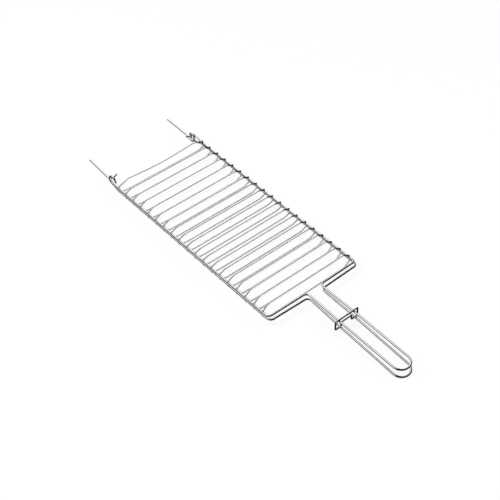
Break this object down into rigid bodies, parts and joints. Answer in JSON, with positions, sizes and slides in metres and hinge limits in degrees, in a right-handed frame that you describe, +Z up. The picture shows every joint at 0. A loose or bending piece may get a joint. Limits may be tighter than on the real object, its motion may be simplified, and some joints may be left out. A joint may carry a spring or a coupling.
{
  "type": "double grill grate",
  "caption": "Hinged double grate of bent round wire for grilling fish or meat over a fire, with two prongs at the hinge end, a long looped handle and a sliding locking ring.",
  "frame": {"origin": "on the ground plane under the middle of the overall box, the closed grate lying flat with its handle towards -Y", "axes": "+Y along the length towards the prongs, +X across the width, +Z up"},
  "size_m": [0.2266, 0.8342, 0.0387],
  "materials": {
    "frame_wire": "bright plated steel wire",
    "cross_wire": "satin plated steel wire",
    "ring_wire": "bright plated steel wire"
  },
  "bodies": {
    "lower_grate": {"lower_frame": "frame_wire", "lower_cross_wire_01": "cross_wire", "lower_cross_wire_02": "cross_wire", "lower_cross_wire_03": "cross_wire", "lower_cross_wire_04": "cross_wire", "lower_cross_wire_05": "cross_wire", "lower_cross_wire_06": "cross_wire", "lower_cross_wire_07": "cross_wire", "lower_cross_wire_08": "cross_wire", "lower_cross_wire_09": "cross_wire", "lower_cross_wire_10": "cross_wire", "lower_cross_wire_11": "cross_wire", "lower_cross_wire_12": "cross_wire", "lower_cross_wire_13": "cross_wire", "lower_cross_wire_14": "cross_wire", "lower_cross_wire_15": "cross_wire", "lower_cross_wire_16": "cross_wire", "lower_cross_wire_17": "cross_wire", "lower_cross_wire_18": "cross_wire", "lower_cross_wire_19": "cross_wire"},
    "upper_grate": {"upper_frame": "frame_wire", "upper_cross_wire_01": "cross_wire", "upper_cross_wire_02": "cross_wire", "upper_cross_wire_03": "cross_wire", "upper_cross_wire_04": "cross_wire", "upper_cross_wire_05": "cross_wire", "upper_cross_wire_06": "cross_wire", "upper_cross_wire_07": "cross_wire", "upper_cross_wire_08": "cross_wire", "upper_cross_wire_09": "cross_wire", "upper_cross_wire_10": "cross_wire", "upper_cross_wire_11": "cross_wire", "upper_cross_wire_12": "cross_wire", "upper_cross_wire_13": "cross_wire", "upper_cross_wire_14": "cross_wire", "upper_cross_wire_15": "cross_wire", "upper_cross_wire_16": "cross_wire", "upper_cross_wire_17": "cross_wire", "upper_cross_wire_18": "cross_wire", "upper_cross_wire_19": "cross_wire"},
    "locking_ring": {"locking_ring": "ring_wire"}
  },
  "joints": [
    {"name": "grate_hinge", "type": "hinge", "parent": "lower_grate", "child": "upper_grate", "pos_m": [0, 0.33467, 0.02768], "axis": [-1, 0, 0], "range_deg": [0, 180]},
    {"name": "ring_slide", "type": "slide", "parent": "lower_grate", "child": "locking_ring", "axis": [0, -0.9996, -0.03], "range_m": [-0.075, 0.02]}
  ]
}
